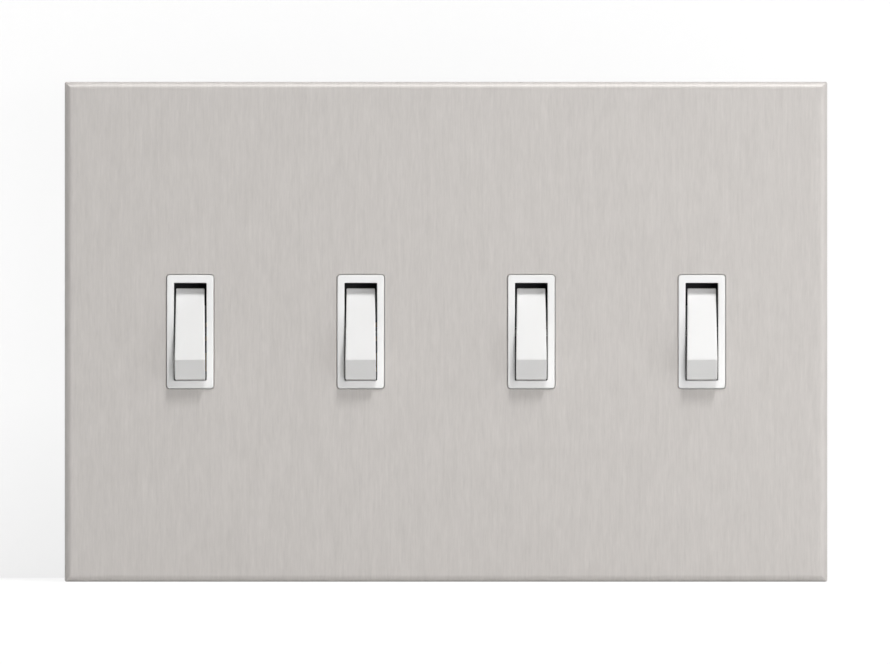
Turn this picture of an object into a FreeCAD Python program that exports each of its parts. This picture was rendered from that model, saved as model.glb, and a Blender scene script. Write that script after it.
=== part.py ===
import FreeCAD
import Part
import math
import os
import re
import Sketcher

# Four-gang toggle wall switch with a screwless metal cover plate.
# Frame: +X right, +Z up, the front faces -Y, and the wall surface is the plane y = 0.
# "Front" and "back" sizes below are distances in front of the wall, so a negative one
# lies behind it, inside the wall box.

SIZES = [
    ("gang_pitch", 46.04, "spacing of the switches, that of ganged wall boxes"),
    ("plate_width", 206.0, "cover plate, along X"),
    ("plate_height", 135.0, "cover plate, along Z"),
    ("plate_depth", 7.5, "cover plate, wall to front face"),
    ("plate_wall", 1.0, "sheet thickness of the cover plate"),
    ("edge_round", 2.0, "outer radius of the pressed edge of the cover plate"),
    ("collar_gap", 0.15, "clearance round each bezel in the cover plate"),
    ("snap_gap", 0.3, "clearance between the cover plate and the mounting frame"),
    ("snap_spacing", 120.0, "distance between the snap noses of one long side"),
    ("snap_length", 8.0, "length of a snap nose"),
    ("snap_nose", 0.5, "how far a snap nose stands out of the frame"),
    ("snap_low", 1.6, "back of a snap nose, in front of the wall"),
    ("snap_thick", 1.0, "thickness of a snap nose along Y"),
    ("snap_side", 0.15, "clearance of a snap nose in its recess"),
    ("rim_front", 5.9, "front of the mounting frame's rim"),
    ("rim_wall", 1.6, "wall of the mounting frame's rim"),
    ("web_thick", 2.0, "web of the mounting frame"),
    ("window_width", 24.0, "window of the mounting frame at each switch"),
    ("window_height", 50.0, "height of that window"),
    ("web_rib", 1.2, "stiffening ribs of the web between the windows"),
    ("strap_thick", 1.3, "steel of the mounting strap"),
    ("strap_length", 106.0, "mounting strap, along Z"),
    ("strap_width", 26.0, "mounting strap beside the housing"),
    ("ear_width", 33.0, "ears of the mounting strap"),
    ("ear_height", 16.0, "height of an ear"),
    ("ear_corner", 3.0, "cut corners of an ear"),
    ("box_spacing", 83.34, "spacing of the box screws along Z"),
    ("slot_width", 4.0, "box screw slot, along Z"),
    ("slot_length", 7.0, "box screw slot, along X, end to end"),
    ("screw_spacing", 60.33, "spacing of the plate screws along Z"),
    ("screw_radius", 1.65, "plate screw shank"),
    ("screw_gap", 0.15, "clearance of a screw in its hole"),
    ("screw_head", 3.3, "plate screw head radius"),
    ("screw_rise", 1.5, "plate screw head height"),
    ("screw_length", 5.8, "plate screw under its head"),
    ("driver_slot", 0.9, "width of the slot in a screw head"),
    ("driver_deep", 0.7, "depth of the slot in a screw head"),
    ("bezel_width", 12.66, "bezel collar, along X"),
    ("bezel_height", 30.65, "bezel collar, along Z"),
    ("bezel_proud", 0.5, "bezel in front of the cover plate"),
    ("bezel_corner", 0.8, "corner radius of the collar"),
    ("bezel_bevel", 0.25, "bevel of the collar's front edge"),
    ("opening_width", 8.81, "lever opening, along X"),
    ("opening_height", 26.34, "lever opening, along Z"),
    ("lip_thick", 1.6, "straight lip round the opening, along Y"),
    ("flange_width", 20.0, "flange of the bezel, along X"),
    ("flange_height", 42.0, "flange of the bezel, along Z"),
    ("flange_thick", 1.6, "flange of the bezel, along Y"),
    ("cavity_height", 31.8, "switch cavity, along Z"),
    ("cavity_width", 9.6, "switch cavity, along X"),
    ("cavity_deep", 11.9, "back of the wide part of the cavity, behind the wall"),
    ("pocket_width", 8.4, "rocker pocket at the back of the cavity, along X"),
    ("pocket_height", 21.6, "rocker pocket, along Z"),
    ("housing_width", 26.0, "switch housing, along X"),
    ("housing_height", 47.0, "switch housing, along Z"),
    ("housing_deep", 24.0, "switch housing, behind the wall"),
    ("housing_bevel", 1.0, "bevel of the housing's edges"),
    ("rivet_along", 37.0, "spacing of the housing rivets along Z"),
    ("rivet_radius", 1.2, "rivet shank"),
    ("rivet_head", 1.8, "rivet head radius"),
    ("rivet_rise", 0.8, "rivet head height"),
    ("rivet_gap", 0.1, "clearance of a rivet in its hole"),
    ("pivot_deep", 4.08, "lever pivot, behind the wall"),
    ("pin_radius", 1.25, "lever pivot pin"),
    ("pin_gap", 0.05, "running clearance of the pin in the lever"),
    ("pin_reach", 8.0, "end of the pin on the right of the lever's middle"),
    ("pin_sink", 0.5, "end of the pin inside the housing's left side"),
    ("half_throw", 32.0, "lever angle from the middle to either stop, degrees"),
    ("tip_reach", 19.32, "lever pivot to the flat of the tip"),
    ("tip_height", 6.25, "lever tip, from ridge to ridge"),
    ("tip_width", 8.3, "lever tip, along X"),
    ("base_reach", 1.11, "lever pivot to the base of the wedge"),
    ("base_height", 30.8, "base of the wedge"),
    ("base_width", 7.65, "base of the wedge, along X"),
    ("lever_bevel", 0.3, "bevel of the lever's edges"),
    ("hub_radius", 3.6, "lever hub round the pivot pin"),
    ("tail_reach", 8.5, "lever pivot to the end of the tail"),
    ("tail_height", 6.4, "tail of the lever"),
    ("bore_start", 2.3, "lever pivot to the floor of the spring bore"),
    ("plunger_radius", 1.8, "half the square plunger, and the radius of its rounded end"),
    ("plunger_gap", 0.08, "running clearance of the plunger in the tail"),
    ("plunger_reach", 12.0, "lever pivot to the end of the plunger"),
    ("plunger_length", 5.2, "plunger, end to end"),
    ("spring_radius", 1.5, "detent spring, outer radius"),
    ("spring_wire", 0.45, "detent spring, thickness of its wall"),
    ("rocker_deep", 12.5, "rocker knuckle, behind the lever pivot"),
    ("rocker_half", 6.0, "rocker angle from the middle to either stop, degrees"),
    ("rocker_thick", 0.8, "strip of the contact rocker"),
    ("rocker_width", 6.0, "contact rocker, along X"),
    ("dish_half", 6.6, "half height of the rocker's dish"),
    ("wing_half", 10.0, "half height of the rocker with its wings"),
    ("dish_gap", 0.1, "clearance between the plunger's dome and the dish"),
    ("knuckle_radius", 1.2, "knuckle that the rocker turns on"),
    ("knuckle_gap", 0.05, "running clearance of the knuckle in its groove"),
    ("contact_radius", 1.4, "silver contact"),
    ("contact_rise", 0.9, "moving contact behind the rocker's wing"),
    ("contact_place", 8.3, "moving contact, from the knuckle"),
    ("contact_open", 0.1, "least gap left at the closed contact"),
    ("blade_front", 0.6, "front of the brass strips, behind the rocker knuckle"),
    ("blade_thick", 1.2, "brass strip"),
    ("blade_gap", 0.05, "clearance of a brass strip in its slot"),
    ("blade_height", 5.0, "inner strip of a terminal, along Z"),
    ("blade_left", 3.0, "inner end of a strip, left of the middle"),
    ("plate_place", 9.5, "terminal plate, right of the middle"),
    ("terminal_front", 8.0, "front of a terminal plate, behind the wall"),
    ("terminal_end", 16.5, "outer end of a terminal plate, along Z"),
    ("terminal_across", 12.0, "terminal screw, from the middle along Z"),
    ("terminal_deep", 12.0, "terminal screw, behind the wall"),
    ("wire_head", 3.2, "terminal screw head radius"),
    ("wire_rise", 2.1, "terminal screw head height"),
    ("wire_radius", 1.75, "terminal screw shank"),
    ("wire_length", 4.2, "terminal screw under its head"),
    ("recess_front", 6.0, "front of a wiring recess, behind the wall"),
    ("recess_gap", 1.0, "room round a terminal plate in its recess"),
    ("tab_low", 36.0, "lower end of the grounding tab, below the middle"),
    ("tab_height", 8.0, "grounding tab, along Z"),
    ("tab_deep", 9.0, "grounding tab, behind the wall"),
    ("ground_deep", 5.0, "ground screw, behind the wall"),
    ("ground_length", 6.0, "ground screw under its head"),
]

GANGS = 4
SIDES = 8
FIRST_GANG = f"-{(GANGS - 1) / 2} * gang_pitch"
KNUCKLE = "pivot_deep + rocker_deep"
BLADE_FRONT = f"{KNUCKLE} + blade_front"
BLADE_BACK = f"{KNUCKLE} + blade_front + blade_thick"
CONTACT_Z = "-contact_place"
BLADE_CENTRES = ("0", CONTACT_Z)
ALIASES = re.compile(r"\b(" + "|".join(name for name, _, _ in SIZES) + r")\b")
VALUE = {}


def make_sheet(doc):
    """Write the driving dimensions, one row each, and name every cell."""
    sheet = doc.addObject("Spreadsheet::Sheet", "Sizes")
    for row, (name, value, meaning) in enumerate(SIZES, start=1):
        sheet.set(f"A{row}", str(value))
        sheet.setAlias(f"A{row}", name)
        sheet.set(f"B{row}", meaning)
    doc.recompute()
    for name, _, _ in SIZES:
        VALUE[name] = float(sheet.get(name))


def bound(text):
    """Point every size named in an expression at its cell."""
    return ALIASES.sub(r"Sizes.\1", text)


def number(text):
    """Value of an expression of sizes, for a sketch's first drawing."""
    words = ALIASES.sub(lambda found: repr(VALUE[found.group(1)]), text)
    return float(FreeCAD.Units.parseQuantity(words).Value)


def origin_feature(body, role):
    """One of the body's own origin planes or axes."""
    return [item for item in body.Origin.OriginFeatures if item.Role == role][0]


def new_body(doc, label, x="0", y="0", several=False):
    """A body named as its file, placed at (x, y, 0)."""
    body = doc.addObject("PartDesign::Body", label)
    body.Label = label
    body.AllowCompound = several
    body.setExpression("Placement.Base.x", bound(x))
    body.setExpression("Placement.Base.y", bound(y))
    return body


def new_sketch(body, plane, offset):
    """A sketch on one of the body's origin planes, moved along its normal."""
    sketch = body.newObject("Sketcher::SketchObject", "Sketch")
    sketch.AttachmentSupport = [(origin_feature(body, plane), "")]
    sketch.MapMode = "FlatFace"
    sketch.setExpression("AttachmentOffset.Base.z", bound(offset))
    return sketch


def fix_points(sketch, points):
    """Hold ends of edges at places given as expressions: (edge, end, x, y)."""
    first = sketch.ConstraintCount
    rules = []
    texts = []
    for edge, end, x, y in points:
        for kind, text in (("DistanceX", x), ("DistanceY", y)):
            rules.append(Sketcher.Constraint(kind, -1, 1, edge, end, number(text)))
            texts.append(text)
    sketch.addConstraint(rules)
    for index, text in enumerate(texts, start=first):
        sketch.setExpression(f"Constraints[{index}]", bound(text))


def draw_polygon(sketch, corners):
    """A closed outline of straight lines through corners given as expressions."""
    points = [FreeCAD.Vector(number(x), number(y), 0) for x, y in corners]
    count = len(points)
    first = sketch.GeometryCount
    sketch.addGeometry([Part.LineSegment(points[index], points[(index + 1) % count])
                        for index in range(count)], False)
    sketch.addConstraint([
        Sketcher.Constraint("Coincident", first + index, 2, first + (index + 1) % count, 1)
        for index in range(count)])
    fix_points(sketch, [(first + index, 1, x, y) for index, (x, y) in enumerate(corners)])


def draw_box(sketch, left, right, low, high):
    """A rectangle between two X and two Y expressions."""
    draw_polygon(sketch, [(left, low), (right, low), (right, high), (left, high)])


def draw_circle(sketch, x, y, radius):
    """A full circle about (x, y)."""
    centre = FreeCAD.Vector(number(x), number(y), 0)
    circle = Part.Circle(centre, FreeCAD.Vector(0, 0, 1), number(radius))
    edge = sketch.addGeometry(circle, False)
    fix_points(sketch, [(edge, 3, x, y)])
    index = sketch.addConstraint(Sketcher.Constraint("Radius", edge, number(radius)))
    sketch.setExpression(f"Constraints[{index}]", bound(radius))


def draw_facets(sketch, x, y, radius):
    """A regular outline of SIDES sides about (x, y), for a small hidden hole or shank."""
    corners = []
    for side in range(SIDES):
        turn = (side + 0.5) * 360 / SIDES
        corners.append((f"{x} + ({radius}) * cos({turn})", f"{y} + ({radius}) * sin({turn})"))
    draw_polygon(sketch, corners)


def draw_slot(sketch, y, length, width):
    """A round-ended slot along X, centred at x = 0."""
    half = number(width) / 2
    reach = (number(length) - number(width)) / 2
    height = number(y)
    normal = FreeCAD.Vector(0, 0, 1)
    left = Part.Circle(FreeCAD.Vector(-reach, height, 0), normal, half)
    right = Part.Circle(FreeCAD.Vector(reach, height, 0), normal, half)
    first = sketch.GeometryCount
    sketch.addGeometry(Part.ArcOfCircle(left, math.pi / 2, 3 * math.pi / 2), False)
    sketch.addGeometry(Part.ArcOfCircle(right, -math.pi / 2, math.pi / 2), False)
    low = (FreeCAD.Vector(-reach, height - half, 0), FreeCAD.Vector(reach, height - half, 0))
    high = (FreeCAD.Vector(reach, height + half, 0), FreeCAD.Vector(-reach, height + half, 0))
    sketch.addGeometry(Part.LineSegment(*low), False)
    sketch.addGeometry(Part.LineSegment(*high), False)
    joins = [(0, 2, 2, 1), (2, 2, 1, 1), (1, 2, 3, 1), (3, 2, 0, 1)]
    for one, one_end, two, two_end in joins:
        join = Sketcher.Constraint("Tangent", first + one, one_end, first + two, two_end)
        sketch.addConstraint(join)
    fix_points(sketch, [(first, 3, f"-({length} - {width}) / 2", y),
                        (first + 1, 3, f"({length} - {width}) / 2", y)])
    index = sketch.addConstraint(Sketcher.Constraint("Radius", first, half))
    sketch.setExpression(f"Constraints[{index}]", bound(f"{width} / 2"))


def pad(body, sketch, length, middle=False):
    """Material along the sketch's normal."""
    feature = body.newObject("PartDesign::Pad", "Pad")
    feature.Profile = (sketch, [""])
    feature.setExpression("Length", bound(length))
    feature.Midplane = middle
    return feature


def pocket(body, sketch, length, middle=False, forward=False):
    """A cut against the sketch's normal, or along it when forward is set."""
    feature = body.newObject("PartDesign::Pocket", "Pocket")
    feature.Profile = (sketch, [""])
    feature.setExpression("Length", bound(length))
    feature.Midplane = middle
    feature.Reversed = forward
    return feature


def add_block(body, left, right, low, high, back, front):
    """A box from the distance back to the distance front, drawn in the front view."""
    sketch = new_sketch(body, "XZ_Plane", back)
    draw_box(sketch, left, right, low, high)
    return pad(body, sketch, f"({front}) - ({back})")


def cut_block(body, left, right, low, high, back, front):
    """A box-shaped cut from the distance front in to the distance back."""
    sketch = new_sketch(body, "XZ_Plane", front)
    draw_box(sketch, left, right, low, high)
    return pocket(body, sketch, f"({front}) - ({back})")


def cut_holes(body, places, radius, back, front):
    """Small holes through Y at the given (x, z) places."""
    sketch = new_sketch(body, "XZ_Plane", front)
    for x, z in places:
        draw_facets(sketch, x, z, radius)
    return pocket(body, sketch, f"({front}) - ({back})")


def dress_edges(doc, body, kind, size, wanted):
    """A Fillet or Chamfer on the tip's edges whose middle and direction pass the test."""
    doc.recompute()
    base = body.Tip
    names = []
    for index, edge in enumerate(base.Shape.Edges, start=1):
        if len(edge.Vertexes) < 2:
            continue
        middle = edge.CenterOfMass
        run = edge.Vertexes[1].Point - edge.Vertexes[0].Point
        if run.Length > 0 and wanted(middle, run.normalize()):
            names.append(f"Edge{index}")
    feature = body.newObject(f"PartDesign::{kind}", kind)
    feature.Base = (base, names)
    feature.setExpression("Radius" if kind == "Fillet" else "Size", bound(size))
    return feature


def near(one, two):
    """Equal to within a hundredth of a millimetre."""
    return abs(one - two) < 0.01


def across_gangs(body, feature):
    """Repeat a feature of the first switch at every switch."""
    pattern = body.newObject("PartDesign::LinearPattern", "Gangs")
    pattern.Originals = [feature]
    pattern.Direction = (origin_feature(body, "X_Axis"), [""])
    pattern.Occurrences = GANGS
    pattern.setExpression("Length", bound(f"{GANGS - 1} * gang_pitch"))
    body.Tip = pattern
    return pattern


def gang_place(gang):
    """Expression of a switch's middle along X, for switches 1 to 4."""
    return f"{gang - (GANGS + 1) / 2} * gang_pitch"


def faceplate(doc):
    """Pressed tray with a rolled edge and a close hole round each bezel."""
    body = new_body(doc, "faceplate")
    add_block(body, "-plate_width / 2", "plate_width / 2", "-plate_height / 2", "plate_height / 2",
              "0", "plate_depth")
    front = number("plate_depth")

    def on_front(middle, run):
        return near(middle.y, -front)

    dress_edges(doc, body, "Fillet", "edge_round", on_front)
    sketch = new_sketch(body, "XZ_Plane", "0")
    inner_x = "plate_width / 2 - plate_wall"
    inner_z = "plate_height / 2 - plate_wall"
    draw_box(sketch, f"-({inner_x})", inner_x, f"-({inner_z})", inner_z)
    pocket(body, sketch, "plate_depth - plate_wall", forward=True)
    floor = number("plate_depth - plate_wall")

    def on_floor(middle, run):
        return near(middle.y, -floor)

    dress_edges(doc, body, "Chamfer", "edge_round - plate_wall", on_floor)
    half_x = "(bezel_width / 2 + collar_gap)"
    half_z = "bezel_height / 2 + collar_gap"
    hole = cut_block(body, f"{FIRST_GANG} - {half_x}", f"{FIRST_GANG} + {half_x}",
                     f"-({half_z})", half_z, "0", "plate_depth")
    across_gangs(body, hole)
    side = number(half_x)
    centres = [number(gang_place(gang)) for gang in range(1, GANGS + 1)]

    def hole_corner(middle, run):
        return abs(run.y) > 0.9 and any(near(abs(middle.x - x), side) for x in centres)

    dress_edges(doc, body, "Fillet", "bezel_corner + collar_gap", hole_corner)
    inside = f"{inner_z} - snap_gap"
    pressed = f"{inner_z} + snap_nose - snap_gap + snap_side"
    for x in ("-snap_spacing / 2", "snap_spacing / 2"):
        for low, high in ((f"-({pressed})", f"-({inside})"), (inside, pressed)):
            cut_block(body, f"{x} - snap_length / 2 - snap_gap", f"{x} + snap_length / 2 + snap_gap",
                      low, high, "snap_low - snap_side", "snap_low + snap_thick + snap_side")
    return body


def mounting_frame(doc):
    """Moulded frame screwed to the straps; the cover plate snaps over its rim."""
    body = new_body(doc, "mounting_frame")
    half_x = "(plate_width / 2 - plate_wall - snap_gap)"
    half_z = "(plate_height / 2 - plate_wall - snap_gap)"
    add_block(body, f"-{half_x}", half_x, f"-{half_z}", half_z, "0", "rim_front")
    cut_block(body, f"-{half_x} + rim_wall", f"{half_x} - rim_wall",
              f"-{half_z} + rim_wall", f"{half_z} - rim_wall",
              "strap_thick + web_thick", "rim_front")
    sketch = new_sketch(body, "XZ_Plane", "0")
    draw_box(sketch, f"-{half_x} + rim_wall", f"{half_x} - rim_wall",
             f"-{half_z} + rim_wall", f"{half_z} - rim_wall")
    pocket(body, sketch, "strap_thick", forward=True)
    for x in ("-snap_spacing / 2", "snap_spacing / 2"):
        for low, high in ((f"-{half_z} - snap_nose", f"-{half_z} + rim_wall / 2"),
                          (f"{half_z} - rim_wall / 2", f"{half_z} + snap_nose")):
            add_block(body, f"{x} - snap_length / 2", f"{x} + snap_length / 2", low, high,
                      "snap_low", "snap_low + snap_thick")
    for gap in range(GANGS - 1):
        x = f"{gap - (GANGS - 2) / 2} * gang_pitch"
        add_block(body, f"{x} - web_rib / 2", f"{x} + web_rib / 2",
                  f"-{half_z} + rim_wall / 2", f"{half_z} - rim_wall / 2",
                  "strap_thick + web_thick / 2", "rim_front - web_rib / 2")
    window = cut_block(body, f"{FIRST_GANG} - window_width / 2", f"{FIRST_GANG} + window_width / 2",
                       "-window_height / 2", "window_height / 2", "0", "rim_front")
    across_gangs(body, window)
    places = [(FIRST_GANG, "-screw_spacing / 2"), (FIRST_GANG, "screw_spacing / 2")]
    screws = cut_holes(body, places, "screw_radius + screw_gap", "0", "rim_front")
    across_gangs(body, screws)
    return body


def yoke(doc, gang):
    """Steel mounting strap with ears, box screw slots and a bent grounding tab."""
    body = new_body(doc, f"yoke_{gang}", gang_place(gang))
    add_block(body, "-strap_width / 2", "strap_width / 2", "-strap_length / 2", "strap_length / 2",
              "0", "strap_thick")
    add_block(body, "-ear_width / 2", "ear_width / 2",
              "strap_length / 2 - ear_height", "strap_length / 2", "0", "strap_thick")
    add_block(body, "-ear_width / 2", "ear_width / 2",
              "-strap_length / 2", "-strap_length / 2 + ear_height", "0", "strap_thick")
    edge = number("ear_width / 2")
    end = number("strap_length / 2")

    def ear_corner(middle, run):
        return near(abs(middle.x), edge) and near(abs(middle.z), end)

    dress_edges(doc, body, "Chamfer", "ear_corner", ear_corner)
    add_block(body, "-strap_width / 2", "-strap_width / 2 + strap_thick",
              "-tab_low", "-tab_low + tab_height", "-tab_deep", "strap_thick")
    cut_block(body, "-cavity_width / 2", "cavity_width / 2", "-cavity_height / 2",
              "cavity_height / 2", "0", "strap_thick")
    sketch = new_sketch(body, "XZ_Plane", "strap_thick")
    draw_slot(sketch, "box_spacing / 2", "slot_length", "slot_width")
    draw_slot(sketch, "-box_spacing / 2", "slot_length", "slot_width")
    pocket(body, sketch, "strap_thick")
    cut_holes(body, [("0", "-screw_spacing / 2"), ("0", "screw_spacing / 2")],
              "screw_radius", "0", "strap_thick")
    cut_holes(body, rivet_places(), "rivet_radius + rivet_gap", "0", "strap_thick")
    sketch = new_sketch(body, "YZ_Plane", "-strap_width / 2")
    draw_facets(sketch, "ground_deep", "-tab_low + tab_height / 2", "wire_radius")
    pocket(body, sketch, "strap_thick", forward=True)
    return body


def rivet_places():
    """The two rivets of one switch, above and below the cavity."""
    return [("0", "-rivet_along / 2"), ("0", "rivet_along / 2")]


def bezel(doc, gang):
    """White collar through the cover plate, with its flange on the strap."""
    body = new_body(doc, f"bezel_{gang}", gang_place(gang))
    add_block(body, "-bezel_width / 2", "bezel_width / 2", "-bezel_height / 2", "bezel_height / 2",
              "strap_thick", "plate_depth + bezel_proud")
    front = number("plate_depth + bezel_proud")
    side = number("bezel_width / 2")

    def collar_corner(middle, run):
        return abs(run.y) > 0.9 and near(abs(middle.x), side)

    dress_edges(doc, body, "Fillet", "bezel_corner", collar_corner)

    def collar_front(middle, run):
        return near(middle.y, -front)

    dress_edges(doc, body, "Chamfer", "bezel_bevel", collar_front)
    add_block(body, "-flange_width / 2", "flange_width / 2", "-flange_height / 2",
              "flange_height / 2", "strap_thick", "strap_thick + flange_thick")
    sketch = new_sketch(body, "YZ_Plane", "0")
    lip = "-(plate_depth + bezel_proud - lip_thick)"
    past = "-(plate_depth + bezel_proud) - lip_thick"
    throat = "-(strap_thick + 2 * flange_thick)"
    wide = "(opening_height / 2 + cavity_height / 2) / 2 - flange_thick / 4"
    draw_polygon(sketch, [
        (past, "-opening_height / 2"), (lip, "-opening_height / 2"), (throat, f"-({wide})"),
        ("-strap_thick + lip_thick", "-cavity_height / 2"),
        ("-strap_thick + lip_thick", "cavity_height / 2"), (throat, wide),
        (lip, "opening_height / 2"), (past, "opening_height / 2")])
    pocket(body, sketch, "opening_width", middle=True)
    cut_holes(body, rivet_places(), "rivet_radius + rivet_gap", "strap_thick",
              "strap_thick + flange_thick")
    return body


def housing(doc, gang):
    """Moulded switch housing with its cavity, wiring recesses and strip slots."""
    body = new_body(doc, f"housing_{gang}", gang_place(gang))
    add_block(body, "-housing_width / 2", "housing_width / 2", "-housing_height / 2",
              "housing_height / 2", "-housing_deep", "0")
    back = number("housing_deep")
    side = number("housing_width / 2")

    def outer_edge(middle, run):
        if abs(run.y) > 0.9:
            return near(abs(middle.x), side)
        return near(middle.y, back)

    dress_edges(doc, body, "Chamfer", "housing_bevel", outer_edge)
    cut_block(body, "-cavity_width / 2", "cavity_width / 2", "-cavity_height / 2",
              "cavity_height / 2", "-cavity_deep", "0")
    floor = f"-({BLADE_BACK})"
    cut_block(body, "-pocket_width / 2", "pocket_width / 2", "-pocket_height / 2",
              "pocket_height / 2", floor, "-cavity_deep")
    reach = "plate_place + housing_width"
    recess_back = f"{floor} - recess_gap"
    cut_block(body, "plate_place", reach, "-blade_height / 2 - blade_gap",
              "terminal_end + recess_gap", recess_back, "-recess_front")
    cut_block(body, "plate_place", reach, "-terminal_end - recess_gap",
              f"{CONTACT_Z} + blade_height / 2 + blade_gap", recess_back, "-recess_front")
    for centre in BLADE_CENTRES:
        cut_block(body, "0", "plate_place + blade_gap", f"{centre} - blade_height / 2 - blade_gap",
                  f"{centre} + blade_height / 2 + blade_gap", f"{floor} - blade_gap",
                  f"-({BLADE_FRONT}) + blade_gap")
    sketch = new_sketch(body, "YZ_Plane", "plate_place")
    for sign in ("-", ""):
        draw_facets(sketch, "terminal_deep", f"{sign}terminal_across", "wire_radius + screw_gap")
    pocket(body, sketch, "wire_length")
    sketch = new_sketch(body, "YZ_Plane", "pin_reach")
    draw_circle(sketch, "pivot_deep", "0", "pin_radius")
    pocket(body, sketch, "pin_reach + housing_width / 2")
    cut_holes(body, rivet_places(), "rivet_radius + rivet_gap", "-housing_deep", "0")
    return body


def dish():
    """Radius, centre and edge of the dish that the plunger's dome runs on.

    The dome's middle is carried into the rocker's own frame at the middle of the throw
    and at a stop; the arc through both, pushed back by the dome, is the dish.
    """
    arm = VALUE["plunger_reach"] - VALUE["plunger_radius"]
    throw = math.radians(VALUE["half_throw"])
    tilt = math.radians(VALUE["rocker_half"])
    out = VALUE["rocker_deep"] - arm * math.cos(throw)
    up = arm * math.sin(throw)
    stop_out = out * math.cos(tilt) + up * math.sin(tilt)
    stop_up = up * math.cos(tilt) - out * math.sin(tilt)
    middle_out = VALUE["rocker_deep"] - arm
    rise = stop_out - middle_out
    path = (rise * rise + stop_up * stop_up) / (2 * rise)
    radius = path + VALUE["plunger_radius"] + VALUE["dish_gap"]
    centre = middle_out + path
    edge = centre - math.sqrt(radius * radius - VALUE["dish_half"] ** 2)
    return radius, centre, edge


def contact_rocker(doc, gang):
    """Dished strip on a knuckle, with flat wings and the moving contact."""
    radius, centre, edge = dish()
    thick = VALUE["rocker_thick"]
    half = VALUE["dish_half"]
    wing = VALUE["wing_half"]
    outer = radius + thick
    back_edge = edge - thick
    back_half = math.sqrt(outer * outer - (centre - back_edge) ** 2)

    def at(out, up):
        return FreeCAD.Vector(0, -out, up)

    front_line = [at(edge, -wing), at(edge, -half), at(centre - radius, 0), at(edge, half),
                  at(edge, wing)]
    back_line = [at(back_edge, wing), at(back_edge, back_half), at(centre - outer, 0),
                 at(back_edge, -back_half), at(back_edge, -wing)]
    edges = [
        Part.LineSegment(front_line[0], front_line[1]),
        Part.Arc(front_line[1], front_line[2], front_line[3]),
        Part.LineSegment(front_line[3], front_line[4]),
        Part.LineSegment(front_line[4], back_line[0]),
        Part.LineSegment(back_line[0], back_line[1]),
        Part.Arc(back_line[1], back_line[2], back_line[3]),
        Part.LineSegment(back_line[3], back_line[4]),
        Part.LineSegment(back_line[4], front_line[0]),
    ]
    face = Part.Face(Part.Wire([edge.toShape() for edge in edges]))
    wide = VALUE["rocker_width"]
    strip = face.extrude(FreeCAD.Vector(wide, 0, 0))
    strip.translate(FreeCAD.Vector(-wide / 2, 0, 0))
    knuckle = Part.makeCylinder(VALUE["knuckle_radius"], wide, FreeCAD.Vector(-wide / 2, 0, 0),
                                FreeCAD.Vector(1, 0, 0))
    plunger_side = Part.makeCylinder(radius, wide, FreeCAD.Vector(-wide / 2, -centre, 0),
                                     FreeCAD.Vector(1, 0, 0))
    ring = []
    for side in range(SIDES + 1):
        turn = math.radians((side + 0.5) * 360 / SIDES)
        across = VALUE["contact_radius"] * math.cos(turn)
        up = VALUE["contact_radius"] * math.sin(turn) - VALUE["contact_place"]
        ring.append(FreeCAD.Vector(across, -(back_edge + thick / 2), up))
    contact = Part.Face(Part.makePolygon(ring)).extrude(
        FreeCAD.Vector(0, VALUE["contact_rise"] + thick / 2, 0))
    shape = strip.fuse([knuckle.cut(plunger_side), contact]).removeSplitter()
    rocker = doc.addObject("Part::Feature", f"contact_rocker_{gang}")
    rocker.Label = f"contact_rocker_{gang}"
    rocker.Shape = shape.Solids[0]
    rocker.Placement = FreeCAD.Placement(
        FreeCAD.Vector(number(gang_place(gang)), number(KNUCKLE), 0),
        FreeCAD.Rotation(FreeCAD.Vector(1, 0, 0), -VALUE["rocker_half"]))
    return rocker


def lever(doc, gang):
    """Wedge-shaped toggle with its hub, and a bored tail for the detent."""
    body = new_body(doc, f"lever_{gang}", gang_place(gang), "pivot_deep")
    profile = new_sketch(body, "YZ_Plane", "0")
    draw_polygon(profile, [
        ("-base_reach", "-base_height / 2"), ("-tip_reach", "-tip_height / 2"),
        ("-tip_reach", "tip_height / 2"), ("-base_reach", "base_height / 2")])
    pad(body, profile, "tip_width", middle=True)
    taper = new_sketch(body, "XY_Plane", "0")
    for sign in ("-", ""):
        draw_polygon(taper, [
            (f"{sign}base_width / 2", "-base_reach"), (f"{sign}tip_width / 2", "-tip_reach"),
            (f"{sign}tip_width", "-tip_reach"), (f"{sign}tip_width", "-base_reach")])
    pocket(body, taper, "2 * base_height", middle=True)
    reach = number("base_reach")

    def wedge_edge(middle, run):
        return -middle.y > reach + 0.01

    dress_edges(doc, body, "Chamfer", "lever_bevel", wedge_edge)
    sketch = new_sketch(body, "YZ_Plane", "0")
    draw_circle(sketch, "0", "0", "hub_radius")
    pad(body, sketch, "base_width", middle=True)
    add_block(body, "-base_width / 2", "base_width / 2", "-tail_height / 2", "tail_height / 2",
              "-tail_reach", "base_reach")
    sketch = new_sketch(body, "YZ_Plane", "0")
    draw_circle(sketch, "0", "0", "pin_radius + pin_gap")
    pocket(body, sketch, "2 * base_width", middle=True)
    sketch = new_sketch(body, "XZ_Plane", "-tail_reach")
    half = "plunger_radius + plunger_gap"
    draw_box(sketch, f"-({half})", half, f"-({half})", half)
    pocket(body, sketch, "tail_reach - bore_start", forward=True)
    tip_down(body)
    return body


def tip_down(body):
    """Turn a piece of the lever about the pivot to its rest, the tip down."""
    body.Placement = FreeCAD.Placement(
        body.Placement.Base, FreeCAD.Rotation(FreeCAD.Vector(1, 0, 0), 1))
    body.setExpression("Placement.Rotation.Angle", bound("half_throw"))


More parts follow.
